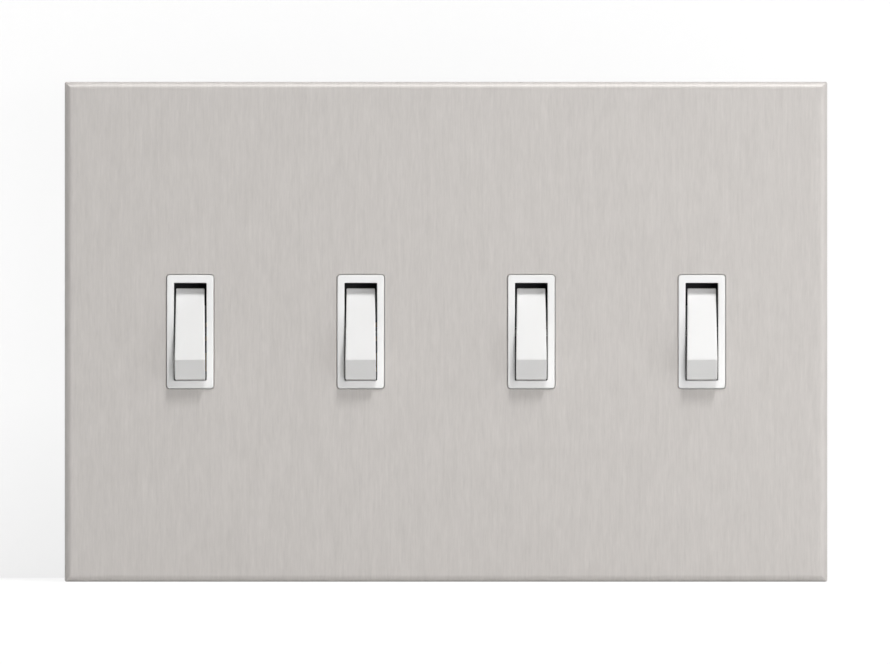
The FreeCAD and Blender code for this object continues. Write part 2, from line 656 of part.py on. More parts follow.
def plunger(doc, gang):
    """Square detent plunger whose end is rounded about a line along X."""
    body = new_body(doc, f"plunger_{gang}", gang_place(gang), "pivot_deep")
    sketch = new_sketch(body, "YZ_Plane", "0")
    start = "plunger_reach - plunger_length"
    dome = "plunger_reach - plunger_radius"
    half = "plunger_radius"
    corners = [(dome, f"-{half}"), (dome, half), (start, half), (start, f"-{half}")]
    drawn = [FreeCAD.Vector(number(x), number(y), 0) for x, y in corners]
    circle = Part.Circle(FreeCAD.Vector(number(dome), 0, 0), FreeCAD.Vector(0, 0, 1),
                         VALUE["plunger_radius"])
    sketch.addGeometry(Part.ArcOfCircle(circle, -math.pi / 2, math.pi / 2), False)
    for edge in range(1, 4):
        line = Part.LineSegment(drawn[edge], drawn[(edge + 1) % 4])
        sketch.addGeometry(line, False)
    for edge in range(4):
        sketch.addConstraint(Sketcher.Constraint("Coincident", edge, 2, (edge + 1) % 4, 1))
    fix_points(sketch, [(0, 3, dome, "0")] + [(edge, 1, *corners[edge]) for edge in range(1, 4)])
    sketch.addConstraint(Sketcher.Constraint("Vertical", 0, 3, 0, 1))
    pad(body, sketch, "2 * plunger_radius", middle=True)
    tip_down(body)
    return body


def plunger_spring(doc, gang):
    """Detent spring between the bore's floor and the plunger, as a plain sleeve."""
    body = new_body(doc, f"plunger_spring_{gang}", gang_place(gang), "pivot_deep")
    sketch = new_sketch(body, "XZ_Plane", "-(plunger_reach - plunger_length)")
    draw_facets(sketch, "0", "0", "spring_radius")
    draw_facets(sketch, "0", "0", "spring_radius - spring_wire")
    pad(body, sketch, "plunger_reach - plunger_length - bore_start")
    tip_down(body)
    return body


def common_terminal(doc, gang):
    """Brass terminal whose inner strip carries the rocker's knuckle in a groove."""
    body = new_body(doc, f"common_terminal_{gang}", gang_place(gang))
    terminal_blank(body, "0", "-blade_height / 2", "terminal_end", "terminal_across")
    sketch = new_sketch(body, "YZ_Plane", "0")
    draw_circle(sketch, KNUCKLE, "0", "knuckle_radius + knuckle_gap")
    pocket(body, sketch, "2 * rocker_width", middle=True)
    return body


def switched_terminal(doc, gang):
    """Brass terminal with the fixed contact that the rocker closes on."""
    body = new_body(doc, f"switched_terminal_{gang}", gang_place(gang))
    terminal_blank(body, CONTACT_Z, "-terminal_end", f"{CONTACT_Z} + blade_height / 2",
                   "-terminal_across")
    sketch = new_sketch(body, "XZ_Plane", f"-({BLADE_FRONT}) - blade_thick / 2")
    draw_facets(sketch, "0", CONTACT_Z, "contact_radius")
    pad(body, sketch, f"{BLADE_FRONT} + blade_thick / 2 - {fixed_face()}")
    return body


def fixed_face():
    """Depth of the fixed contact's face, just behind the closed moving contact."""
    _, _, edge = dish()
    tilt = math.radians(VALUE["rocker_half"])
    out = edge - VALUE["rocker_thick"] - VALUE["contact_rise"]
    low = VALUE["contact_place"] + VALUE["contact_radius"]
    forward = out * math.cos(tilt) - low * math.sin(tilt)
    return number(KNUCKLE) - forward + VALUE["contact_open"]


def terminal_blank(body, blade_z, plate_low, plate_high, screw_z):
    """Inner strip on the pocket's floor, bent forward into the screw plate."""
    add_block(body, "-blade_left", "plate_place + blade_thick", f"{blade_z} - blade_height / 2",
              f"{blade_z} + blade_height / 2", f"-({BLADE_BACK})", f"-({BLADE_FRONT})")
    add_block(body, "plate_place", "plate_place + blade_thick", plate_low, plate_high,
              f"-({BLADE_BACK})", "-terminal_front")
    sketch = new_sketch(body, "YZ_Plane", "plate_place")
    draw_facets(sketch, "terminal_deep", screw_z, "wire_radius")
    pocket(body, sketch, "2 * blade_thick", forward=True)


def fastener(body, plane, x, y, under, head, rise, shank, length, outward):
    """Head, shank and driver slot about the point (x, y) of a plane's sketches.

    The under face of the head is at the given place along the plane's normal, and the head
    stands along the normal when outward is set, or against it.
    """
    head_sketch = new_sketch(body, plane, under if outward else f"{under} - {rise}")
    draw_facets(head_sketch, x, y, head)
    shank_sketch = new_sketch(body, plane, f"{under} - {length}" if outward else under)
    draw_facets(shank_sketch, x, y, shank)
    features = [pad(body, head_sketch, rise), pad(body, shank_sketch, length)]
    slot_sketch = new_sketch(body, plane, f"{under} {'+' if outward else '-'} {rise}")
    draw_box(slot_sketch, f"{x} - 2 * {head}", f"{x} + 2 * {head}",
             f"{y} - driver_slot / 2", f"{y} + driver_slot / 2")
    features.append(pocket(body, slot_sketch, "driver_deep", forward=not outward))
    return features


def spread(body, features, mirror):
    """Repeat fasteners along the gangs and, when mirrored, across the middle."""
    group = body.newObject("PartDesign::MultiTransform", "Spread")
    steps = []
    for plane in mirror:
        flip = body.newObject("PartDesign::Mirrored", "Mirror")
        flip.MirrorPlane = (origin_feature(body, plane), [""])
        steps.append(flip)
    line = body.newObject("PartDesign::LinearPattern", "Gangs")
    line.Direction = (origin_feature(body, "X_Axis"), [""])
    line.Occurrences = GANGS
    line.setExpression("Length", bound(f"{GANGS - 1} * gang_pitch"))
    steps.append(line)
    group.Originals = features
    group.Transformations = steps
    body.Tip = group
    return group


def frame_screws(doc):
    """Eight plate screws that hold the mounting frame to the straps."""
    body = new_body(doc, "frame_screws", FIRST_GANG, several=True)
    features = fastener(body, "XZ_Plane", "0", "screw_spacing / 2", "strap_thick + web_thick",
                        "screw_head", "screw_rise", "screw_radius", "screw_length", True)
    spread(body, features, ["XY_Plane"])
    return body


def terminal_screws(doc):
    """Eight wiring screws on the terminal plates."""
    body = new_body(doc, "terminal_screws", FIRST_GANG, several=True)
    features = fastener(body, "YZ_Plane", "terminal_deep", "terminal_across",
                        "plate_place + blade_thick", "wire_head", "wire_rise", "wire_radius",
                        "wire_length", True)
    spread(body, features, ["XY_Plane"])
    return body


def ground_screws(doc):
    """Four grounding screws in the bent tabs of the straps."""
    body = new_body(doc, "ground_screws", FIRST_GANG, several=True)
    features = fastener(body, "YZ_Plane", "ground_deep", "-tab_low + tab_height / 2",
                        "-strap_width / 2", "wire_head", "wire_rise", "wire_radius",
                        "ground_length", False)
    spread(body, features, [])
    return body


def housing_rivets(doc):
    """Eight rivets through the bezel flanges, straps and housings, headed at both ends."""
    body = new_body(doc, "housing_rivets", FIRST_GANG, several=True)
    front = "strap_thick + flange_thick"
    features = []
    for back, length, radius in (("-housing_deep - rivet_rise", "rivet_rise", "rivet_head"),
                                 ("-housing_deep", f"housing_deep + {front}", "rivet_radius"),
                                 (front, "rivet_rise", "rivet_head")):
        sketch = new_sketch(body, "XZ_Plane", back)
        draw_facets(sketch, "0", "rivet_along / 2", radius)
        features.append(pad(body, sketch, length))
    spread(body, features, ["XY_Plane"])
    return body


def pivot_pins(doc):
    """Four steel pins that the levers turn on, pressed in from the left."""
    body = new_body(doc, "pivot_pins", FIRST_GANG, several=True)
    sketch = new_sketch(body, "YZ_Plane", "-housing_width / 2 + pin_sink")
    draw_circle(sketch, "pivot_deep", "0", "pin_radius")
    turned = pad(body, sketch, "housing_width / 2 - pin_sink + pin_reach")
    across_gangs(body, turned)
    return body


def check(doc, pieces):
    """Stop unless every object and every sub-part's shape is sound."""
    for item in doc.Objects:
        if "Invalid" in item.State or "Error" in item.State:
            raise RuntimeError(f"{item.Name} failed: {item.State}")
    for piece, solids in pieces:
        shape = piece.Shape
        if shape.isNull() or not shape.isValid() or len(shape.Solids) != solids:
            raise RuntimeError(f"{piece.Label} has {len(shape.Solids)} solids, or is not valid")
        print(piece.Label, len(shape.Solids), round(shape.Volume, 2))


def main():
    doc = FreeCAD.newDocument("toggle_switch")
    make_sheet(doc)
    pieces = [(faceplate(doc), 1), (mounting_frame(doc), 1)]
    for gang in range(1, GANGS + 1):
        for piece in (yoke, bezel, housing, lever, plunger, plunger_spring, contact_rocker,
                      common_terminal, switched_terminal):
            pieces.append((piece(doc, gang), 1))
    pieces.append((frame_screws(doc), 2 * GANGS))
    pieces.append((terminal_screws(doc), 2 * GANGS))
    pieces.append((ground_screws(doc), GANGS))
    pieces.append((housing_rivets(doc), 2 * GANGS))
    pieces.append((pivot_pins(doc), GANGS))
    doc.recompute()
    check(doc, pieces)
    os.makedirs("parts", exist_ok=True)
    for piece, _ in pieces:
        piece.Shape.exportStep(f"parts/{piece.Label}.step")


main()
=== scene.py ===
import math

import bmesh
import bpy
import numpy as np
from bpy.props import FloatProperty, FloatVectorProperty, IntProperty, PointerProperty
from bpy.types import Operator, Panel, PropertyGroup
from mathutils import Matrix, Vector


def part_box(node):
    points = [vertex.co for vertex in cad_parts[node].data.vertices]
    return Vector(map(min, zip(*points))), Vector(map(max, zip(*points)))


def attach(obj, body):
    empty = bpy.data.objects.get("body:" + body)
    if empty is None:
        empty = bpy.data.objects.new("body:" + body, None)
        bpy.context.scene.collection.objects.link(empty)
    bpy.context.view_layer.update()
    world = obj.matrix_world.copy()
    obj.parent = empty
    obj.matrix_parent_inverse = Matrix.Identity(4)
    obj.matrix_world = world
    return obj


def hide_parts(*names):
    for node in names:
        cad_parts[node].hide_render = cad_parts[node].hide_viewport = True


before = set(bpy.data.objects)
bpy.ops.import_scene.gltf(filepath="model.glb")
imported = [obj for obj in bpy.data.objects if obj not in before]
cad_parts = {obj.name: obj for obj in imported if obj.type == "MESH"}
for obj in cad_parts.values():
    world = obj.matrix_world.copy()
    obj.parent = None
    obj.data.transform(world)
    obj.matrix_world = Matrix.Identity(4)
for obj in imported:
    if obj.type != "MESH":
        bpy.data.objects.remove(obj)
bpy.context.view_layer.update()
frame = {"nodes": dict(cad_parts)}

bl_info = {
    "name": "Ganged toggle wall switch",
    "version": (1, 0, 0),
    "blender": (4, 5, 0),
    "location": "3D View > Sidebar > Switch",
    "description": "Brushed cover plate, white bezels and toggle levers on a row of wall switches",
    "category": "Object",
}

GANGS = 4
# Flat margin between the plate's outer bend and the cells round the bezels, in metres.
SEAM = 0.0004
# Stage, in metres: X right, Y into the wall, Z up. The floor lies just under the plate and the
# backdrop a little behind the switch bodies; the lamps all face the middle of the switch.
FLOOR_GAP = 0.0001
WALL_LINE = 0.062
SHEET_REACH = 3.0
KEY_TOWARDS = (0.38, -1.0, 1.75)
KEY_DISTANCE = 2.2
KEY_SIZE = (0.3, 0.4)
FRONT_PLACE = (0.6, -2.2, 0.12)
FRONT_SIZE = (0.9, 0.3)
SIDE_PLACE = (0.55, -0.40, 0.05)
SIDE_SIZE = (0.3, 0.3)
PLATE_LOW, PLATE_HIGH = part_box("faceplate")
COLLAR_LOW, COLLAR_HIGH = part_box("bezel_1")


# ---------------------------------------------------------------- sizes and colours

class PlateSizes(PropertyGroup):
    pitch: FloatProperty(
        name="Spacing", description="Distance between neighbouring switches",
        default=0.04604, unit="LENGTH")
    width: FloatProperty(
        name="Width", description="Cover plate along X",
        default=PLATE_HIGH[0] - PLATE_LOW[0], unit="LENGTH")
    height: FloatProperty(
        name="Height", description="Cover plate along Z",
        default=PLATE_HIGH[2] - PLATE_LOW[2], unit="LENGTH")
    depth: FloatProperty(
        name="Depth", description="Wall to the front of the cover plate",
        default=-PLATE_LOW[1], unit="LENGTH")
    wall: FloatProperty(
        name="Sheet", description="Thickness of the sheet", default=0.001, unit="LENGTH")
    roll: FloatProperty(
        name="Rolled edge", description="Radius of the pressed edge",
        default=0.002, unit="LENGTH")
    corner: FloatProperty(
        name="Corner", description="Radius of the plate's outline at its corners",
        default=0.0005, unit="LENGTH")
    gap: FloatProperty(
        name="Collar gap", description="Clearance round a bezel",
        default=0.00015, unit="LENGTH")


class BezelSizes(PropertyGroup):
    width: FloatProperty(
        name="Width", description="Collar along X", default=0.01266, unit="LENGTH")
    height: FloatProperty(
        name="Height", description="Collar along Z", default=0.03065, unit="LENGTH")
    proud: FloatProperty(
        name="Front", description="Wall to the collar's front face",
        default=-COLLAR_LOW[1], unit="LENGTH")
    corner: FloatProperty(
        name="Corner", description="Corner radius of the collar", default=0.0008, unit="LENGTH")
    edge: FloatProperty(
        name="Edge", description="Rounding of the collar's front edge",
        default=0.00025, unit="LENGTH")
    opening_width: FloatProperty(
        name="Opening width", description="Lever opening along X",
        default=0.00881, unit="LENGTH")
    opening_height: FloatProperty(
        name="Opening height", description="Lever opening along Z",
        default=0.02634, unit="LENGTH")
    lip: FloatProperty(
        name="Lip", description="Straight part of the opening along Y",
        default=0.0016, unit="LENGTH")
    flange: FloatProperty(
        name="Flange", description="Thickness of the flange along Y",
        default=0.0016, unit="LENGTH")
    throat: FloatProperty(
        name="Throat", description="How far the opening widens up and down at the back",
        default=0.00214, unit="LENGTH")
    bend: FloatProperty(
        name="Bend", description="How far it has widened where the throat gets steeper",
        default=0.00097, unit="LENGTH")
    bend_depth: FloatProperty(
        name="Bend depth", description="From the back to where the throat gets steeper",
        default=0.0032, unit="LENGTH")


class LeverSizes(PropertyGroup):
    pivot: FloatProperty(
        name="Pivot", description="Lever pivot behind the wall", default=0.00408, unit="LENGTH")
    throw: FloatProperty(
        name="Angle", description="Turn of the lever from its middle to its rest",
        default=math.radians(32), unit="ROTATION", subtype="ANGLE")
    reach: FloatProperty(
        name="Reach", description="Pivot to the flat of the tip", default=0.01932, unit="LENGTH")
    base: FloatProperty(
        name="Base", description="Pivot to the back of the wedge", default=0.00134, unit="LENGTH")
    tip_height: FloatProperty(
        name="Tip height", description="Tip from ridge to ridge", default=0.00625, unit="LENGTH")
    base_height: FloatProperty(
        name="Base height", description="Height of the wedge at its back",
        default=0.03049, unit="LENGTH")
    tip_width: FloatProperty(
        name="Tip width", description="Tip along X", default=0.0083, unit="LENGTH")
    base_width: FloatProperty(
        name="Base width", description="Base along X", default=0.00766, unit="LENGTH")
    ridge: FloatProperty(
        name="Ridge", description="Rounding of the wedge's corners", default=0.00045,
        unit="LENGTH")
    edge: FloatProperty(
        name="Edge", description="Rounding along the lever's sides", default=0.0003,
        unit="LENGTH")
    hub: FloatProperty(
        name="Hub", description="Radius of the hub", default=0.0036, unit="LENGTH")
    pin_hole: FloatProperty(
        name="Pin hole", description="Radius of the hole for the pin", default=0.0013,
        unit="LENGTH")
    tail_start: FloatProperty(
        name="Tail start", description="Pivot to the front of the tail", default=0.00145,
        unit="LENGTH")
    tail_reach: FloatProperty(
        name="Tail reach", description="Pivot to the end of the tail", default=0.0085,
        unit="LENGTH")
    tail_height: FloatProperty(
        name="Tail height", description="Height of the tail", default=0.0064, unit="LENGTH")
    bore: FloatProperty(
        name="Bore", description="Side of the square bore", default=0.00376, unit="LENGTH")
    bore_start: FloatProperty(
        name="Bore floor", description="Pivot to the floor of the bore", default=0.0023,
        unit="LENGTH")
    inset: FloatProperty(
        name="Tail inset", description="The tail's sides inside those of the wedge",
        default=0.00002, unit="LENGTH")


class FinishColours(PropertyGroup):
    plate: FloatVectorProperty(
        name="Plate", description="Brushed stainless sheet", subtype="COLOR", size=3,
        default=(0.565, 0.538, 0.517))
    white: FloatVectorProperty(
        name="White plastic", description="Bezels", subtype="COLOR", size=3,
        default=(0.83, 0.828, 0.822))
    # Painted shade: the levers use the bezels' white plastic, darkened so that their faces, which
    # tilt up into the key light, come out as bright as the bezels.
    lever_shaded_white: FloatVectorProperty(
        name="Lever white with painted shade", description="Levers", subtype="COLOR", size=3,
        default=(0.73, 0.727, 0.72))
    frame: FloatVectorProperty(
        name="Frame plastic", description="Mounting frame", subtype="COLOR", size=3,
        default=(0.60, 0.60, 0.58))
    housing: FloatVectorProperty(
        name="Housing", description="Moulded switch bodies", subtype="COLOR", size=3,
        default=(0.048, 0.048, 0.050))
    zinc: FloatVectorProperty(
        name="Zinc plate", description="Straps, screws and rivets", subtype="COLOR", size=3,
        default=(0.56, 0.56, 0.545))
    brass: FloatVectorProperty(
        name="Brass", description="Terminals, contacts and wiring screws", subtype="COLOR",
        size=3, default=(0.72, 0.52, 0.22))
    green: FloatVectorProperty(
        name="Green lacquer", description="Grounding screws", subtype="COLOR", size=3,
        default=(0.06, 0.26, 0.09))
    acetal: FloatVectorProperty(
        name="Plunger", description="Natural acetal", subtype="COLOR", size=3,
        default=(0.62, 0.58, 0.49))


class StageSettings(PropertyGroup):
    key_power: FloatProperty(
        name="Key light", description="Power of the key light in watts", default=35.0,
        subtype="POWER")
    front_power: FloatProperty(
        name="Front light", description="Power of the soft front light in watts", default=6.5,
        subtype="POWER")
    side_power: FloatProperty(
        name="Side light", description="Power of the low light on the right in watts",
        default=0.8, subtype="POWER")
    ambient: FloatProperty(
        name="Ambient", description="Level of the surrounding light", default=0.12,
        subtype="FACTOR")
    lens: FloatProperty(
        name="Lens", description="Focal length in millimetres", default=599.3)
    distance: FloatProperty(
        name="Camera distance", description="Camera to the wall", default=4.0075,
        unit="LENGTH")
    arc_points: IntProperty(
        name="Corner points", description="Points along each corner of an outline", default=7,
        min=2)


# ---------------------------------------------------------------- surfaces

def settings(group):
    """One of the scene's groups of sizes or colours."""
    return getattr(bpy.context.scene, group)


def outline(half_x, half_z, radius, along_x, along_z, arc):
    """Closed rounded rectangle in the X-Z plane, as an array of points.

    Each corner is a quarter circle of the given radius about a point that lies the radius
    inside both sides; the sides' own points lie at the fractions along_x and along_z of the
    straight lengths. It runs anticlockwise as seen from the front, from the right side up.
    """
    flat_x = half_x - radius
    flat_z = half_z - radius
    parts = []
    quarter = np.linspace(0, np.pi / 2, arc)
    sides = (
        (1, 1, np.stack([along_x[::-1] * flat_x, np.full(along_x.size, half_z)], 1)),
        (-1, 1, np.stack([np.full(along_z.size, -half_x), along_z[::-1] * flat_z], 1)),
        (-1, -1, np.stack([along_x * flat_x, np.full(along_x.size, -half_z)], 1)),
        (1, -1, np.stack([np.full(along_z.size, half_x), along_z * flat_z], 1)),
    )
    for corner, (sign_x, sign_z, side) in enumerate(sides):
        turn = quarter + corner * np.pi / 2
        centre = np.array([sign_x * flat_x, sign_z * flat_z])
        parts.append(centre + radius * np.stack([np.cos(turn), np.sin(turn)], 1))
        parts.append(side)
    return np.concatenate(parts)


def at_depth(loop, y, centre_x=0.0):
    """An outline's points placed at the depth y and moved along X."""
    return np.stack([loop[:, 0] + centre_x, np.full(len(loop), y), loop[:, 1]], 1)


def carried(rings, closed=False):
    """Points and faces of a surface that runs through a row of equal closed loops.

    Point (i, j) is loop i's point j; each face joins (i, j), (i, j + 1), (i + 1, j + 1) and
    (i + 1, j), where j wraps round, and i too when the row itself closes.
    """
    rings = np.asarray(rings, dtype=float)
    count, size, _ = rings.shape
    index = np.arange(count * size).reshape(count, size)
    if closed:
        index = np.concatenate([index, index[:1]])
    here = index[:-1]
    after = index[1:]
    faces = np.stack([here, np.roll(here, -1, 1), np.roll(after, -1, 1), after], 2)
    return rings.reshape(-1, 3), faces.reshape(-1, 4)


def make_piece(name, surfaces, smooth, body, node, finish):
    """Join surfaces into one closed mesh, merge its doubles and turn its faces outward."""
    points = []
    faces = []
    count = 0
    for surface_points, surface_faces in surfaces:
        points.append(surface_points)
        faces.append(surface_faces + count)
        count += len(surface_points)
    mesh = bpy.data.meshes.new(name)
    mesh.from_pydata(np.concatenate(points), [], np.concatenate(faces))
    work = bmesh.new()
    work.from_mesh(mesh)
    bmesh.ops.remove_doubles(work, verts=work.verts, dist=2e-6)
    bmesh.ops.dissolve_degenerate(work, edges=work.edges, dist=1e-7)
    bmesh.ops.recalc_face_normals(work, faces=work.faces)
    work.to_mesh(mesh)
    work.free()
    mesh.shade_smooth()
    mesh.set_sharp_from_angle(angle=math.radians(smooth))
    mesh.validate()
    piece = bpy.data.objects.new(name, mesh)
    bpy.context.scene.collection.objects.link(piece)
    mesh.materials.append(finish)
    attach(piece, body)
    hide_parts(node)
    return piece


def gang_centre(gang):
    """Middle of switch 1 to 4 along X."""
    return (gang - (GANGS + 1) / 2) * settings("switch_plate").pitch


def plate_edge(plate, border, along_x, along_z, arc):
    """The pressed edge: a profile carried round the plate's outline.

    The outer bend is a quarter circle of the roll radius and the inner one of that radius
    less the sheet, both about the same centre. An outline that lies a distance inside the
    silhouette has the plate's corner radius less that distance, so the bends meet in mitres.
    """
    turn = np.radians(np.linspace(0, 90, 13))
    centre = plate.roll
    axis = -plate.depth + plate.roll
    inner = plate.roll - plate.wall
    burr = plate.wall / 8
    profile = np.concatenate([
        [[border, -plate.depth]],
        np.stack([centre - plate.roll * np.sin(turn), axis - plate.roll * np.cos(turn)], 1),
        [[0, -2 * burr], [burr, 0], [plate.wall - burr, 0], [plate.wall, -burr]],
        np.stack([centre - inner * np.sin(turn), axis - inner * np.cos(turn)], 1)[::-1],
        [[border, -plate.depth + plate.wall]],
    ])
    rings = []
    for inset, y in profile:
        radius = max(plate.corner - inset, 0.0)
        rings.append(at_depth(outline(plate.width / 2 - inset, plate.height / 2 - inset, radius,
                                      along_x, along_z, arc), y))
    return carried(rings)


def plate_cell(plate, bezel, gang, border, fractions, arc):
    """The flat sheet round one bezel, its punched hole and the sheet's back.

    A ring at the share t of the way out is (1 - t) times the hole's outline plus t times the
    cell's; the hole's edge is broken by a small bevel.
    """
    middle = gang_centre(gang)
    left = -plate.width / 2 + border if gang == 1 else middle - plate.pitch / 2
    right = plate.width / 2 - border if gang == GANGS else middle + plate.pitch / 2
    cell = outline((right - left) / 2, plate.height / 2 - border, 0.0, fractions, fractions, arc)
    cell = at_depth(cell, 0.0, (left + right) / 2)
    half_x = bezel.width / 2 + plate.gap
    half_z = bezel.height / 2 + plate.gap
    radius = bezel.corner + plate.gap
    burr = plate.wall / 10
    wide = at_depth(outline(half_x + burr, half_z + burr, radius + burr, fractions, fractions,
                            arc), 0.0, middle)
    hole = at_depth(outline(half_x, half_z, radius, fractions, fractions, arc), 0.0, middle)
    front = np.array([0.0, -plate.depth, 0.0])
    back = front + (0.0, plate.wall, 0.0)
    rings = [wide * (1 - share) + cell * share + front for share in (1, 0.5, 0.06, 0.02, 0)]
    rings.append(hole + front + (0.0, burr, 0.0))
    rings += [hole * (1 - share) + cell * share + back for share in (0, 0.5, 1)]
    return carried(rings)


def bezel_surface(plate, bezel, gang, arc):
    """Collar, lip, throat and flange of one bezel: a closed row of rounded rectangles.

    Each station is a half width, half height, corner radius and depth. The front edges turn
    over a quarter circle of the edge radius.
    """
    turn = np.radians(np.linspace(0, 90, 5))
    half_x, half_z = bezel.width / 2, bezel.height / 2
    open_x, open_z = bezel.opening_width / 2, bezel.opening_height / 2
    front = -bezel.proud
    edge = bezel.edge
    low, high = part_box(f"bezel_{gang}")
    flange_x, flange_z = (high[0] - low[0]) / 2, (high[2] - low[2]) / 2
    back = high[1]
    seat = back - bezel.flange
    stations = []
    for reach in edge * (1 - np.sin(turn))[::-1]:
        grow = math.sqrt(max(edge ** 2 - (edge - reach) ** 2, 0.0))
        stations.append((half_x - edge + grow, half_z - edge + grow,
                         bezel.corner - edge + grow, front + reach))
    stations += [
        (half_x, half_z, bezel.corner, front + 2 * edge),
        (half_x, half_z, bezel.corner, seat),
        (flange_x, flange_z, bezel.corner, seat),
        (flange_x, flange_z, bezel.corner, back),
        (open_x, open_z + bezel.throat, bezel.edge, back),
        (open_x, open_z + bezel.bend, bezel.edge, back - bezel.bend_depth),
        (open_x, open_z, bezel.edge, front + bezel.lip),
        (open_x, open_z, bezel.edge, front + 2 * edge),
    ]
    for angle in turn:
        spread = edge * (1 - math.cos(angle))
        stations.append((open_x + spread, open_z + spread, edge + spread,
                         front + edge * (1 - math.sin(angle))))
    rim = (2 * edge, half_x - open_x - 2 * edge)
    for step in rim:
        stations.append((open_x + step, open_z + step, edge + step / 2, front))
    fractions = np.linspace(-0.98, 0.98, 9)
    rings = [at_depth(outline(x, z, radius, fractions, fractions, arc), y, gang_centre(gang))
             for x, z, radius, y in stations]
    return carried(rings, closed=True)


def in_lever(points, lever, gang):
    """Points (x, forward, up) of the upright lever, turned to its rest and set on its pivot.

    Forward becomes forward times the cosine plus up times the sine of the throw, and up
    becomes up times the cosine minus forward times the sine.
    """
    x, forward, up = np.moveaxis(np.asarray(points), -1, 0)
    turned = forward * math.cos(lever.throw) + up * math.sin(lever.throw)
    risen = up * math.cos(lever.throw) - forward * math.sin(lever.throw)
    return np.stack([x + gang_centre(gang), lever.pivot - turned, risen], -1)


def wedge_surface(lever, gang, arc):
    """The wedge: its rounded side view carried across X, and a flat side at either end.

    The side view has four corners, each an arc about a point inside. Near a side the arcs'
    radius falls by the edge radius times (1 - sin a) while X falls short of the side by the
    edge radius times (1 - cos a). The half width grows evenly from the base to the tip.
    """
    base, reach = lever.base, lever.reach
    half_base, half_tip = lever.base_height / 2, lever.tip_height / 2
    corners = np.array([[reach, half_tip], [base, half_base], [base, -half_base],
                        [reach, -half_tip]])
    runs = np.roll(corners, -1, 0) - corners
    normals = np.stack([runs[:, 1], -runs[:, 0]], 1)
    normals /= np.linalg.norm(normals, axis=1)[:, None]
    if np.dot(normals[0], corners[0] - corners.mean(0)) < 0:
        normals = -normals
    before = np.roll(normals, 1, 0)
    bisector = (before + normals) / (1 + np.sum(before * normals, 1))[:, None]
    centres = corners - lever.ridge * bisector
    start = np.arctan2(before[:, 1], before[:, 0])
    sweep = (np.arctan2(normals[:, 1], normals[:, 0]) - start + np.pi) % (2 * np.pi) - np.pi
    turn = start[:, None] + sweep[:, None] * np.linspace(0, 1, arc)
    spokes = np.stack([np.cos(turn), np.sin(turn)], 2)

    def profile(inset):
        arcs = centres[:, None] + (lever.ridge - inset) * spokes
        first = arcs[:, -1]
        last = np.roll(arcs[:, 0], -1, 0)
        share = np.array([0.02, 0.98])[None, :, None]
        sides = first[:, None] * (1 - share) + last[:, None] * share
        return np.concatenate([arcs, sides], 1).reshape(-1, 2)

    def half_width(forward):
        grown = (forward - base) / (reach - base)
        return (lever.base_width + (lever.tip_width - lever.base_width) * grown) / 2

    middle = np.array([(base + reach) / 2 - lever.reach / 8, 0.0])
    side = profile(lever.edge)
    rings = []
    for share in (0.0, 0.97):
        loop = middle + (side - middle) * share
        rings.append(np.stack([half_width(loop[:, 0]), loop[:, 0], loop[:, 1]], 1))
    for angle in np.radians(np.linspace(0, 90, 6)):
        loop = profile(lever.edge * (1 - math.sin(angle)))
        x = half_width(loop[:, 0]) - lever.edge * (1 - math.cos(angle))
        rings.append(np.stack([x, loop[:, 0], loop[:, 1]], 1))
    rings.append(rings[-1] * (0.94, 1, 1))
    rings = np.array(rings)
    rings = np.concatenate([rings, rings[::-1] * (-1, 1, 1)])
    points, faces = carried(rings)
    return in_lever(points, lever, gang), faces


def hub_surface(lever, gang):
    """The hub round the pin: a closed row of four circles about the pivot."""
    turn = np.linspace(0, 2 * np.pi, 40, endpoint=False)
    circle = np.stack([np.zeros(turn.size), np.cos(turn), np.sin(turn)], 1)
    half = lever.base_width / 2
    rings = [circle * radius + (x, 0, 0) for radius, x in
             ((lever.pin_hole, -half), (lever.hub, -half), (lever.hub, half),
              (lever.pin_hole, half))]
    points, faces = carried(rings, closed=True)
    return in_lever(points, lever, gang), faces


def tail_surface(lever, gang, arc):
    """The bored tail: rounded squares from a point in front, over the wall and down the bore."""
    half = lever.base_width / 2 - lever.inset
    tall = lever.tail_height / 2
    bore = lever.bore / 2
    start, end, bottom = -lever.tail_start, -lever.tail_reach, -lever.bore_start
    fractions = np.linspace(-0.9, 0.9, 3)
    rings = []
    for x, z, radius, forward in (
            (0, 0, 0, start), (half, tall, lever.edge, start), (half, tall, lever.edge, end),
            (bore, bore, 0, end), (bore, bore, 0, bottom), (0, 0, 0, bottom)):
        loop = outline(x, z, radius, fractions, fractions, arc)
        rings.append(np.stack([loop[:, 0], np.full(len(loop), forward), loop[:, 1]], 1))
    points, faces = carried(rings)
    return in_lever(points, lever, gang), faces


# ---------------------------------------------------------------- finishes

class Wire:
    """A number carried by a node's output; arithmetic on it adds Math nodes."""

    def __init__(self, finish, socket):
        self.finish = finish
        self.socket = socket

    def work(self, operation, *values):
        node = self.finish.node("ShaderNodeMath", {"operation": operation},
                                dict(enumerate(values)))
        return Wire(self.finish, node.outputs[0])

    def __add__(self, other):
        return self.work("ADD", self, other)

    __radd__ = __add__

    def __sub__(self, other):
        return self.work("SUBTRACT", self, other)

    def __rsub__(self, other):
        return self.work("SUBTRACT", other, self)

    def __mul__(self, other):
        return self.work("MULTIPLY", self, other)

    __rmul__ = __mul__

    def __truediv__(self, other):
        return self.work("DIVIDE", self, other)

    def __rtruediv__(self, other):
        return self.work("DIVIDE", other, self)

    def __pow__(self, other):
        return self.work("POWER", self, other)

    def __rpow__(self, other):
        return self.work("POWER", other, self)

    def clamped(self):
        return self.work("MINIMUM", self.work("MAXIMUM", self, 0.0), 1.0)


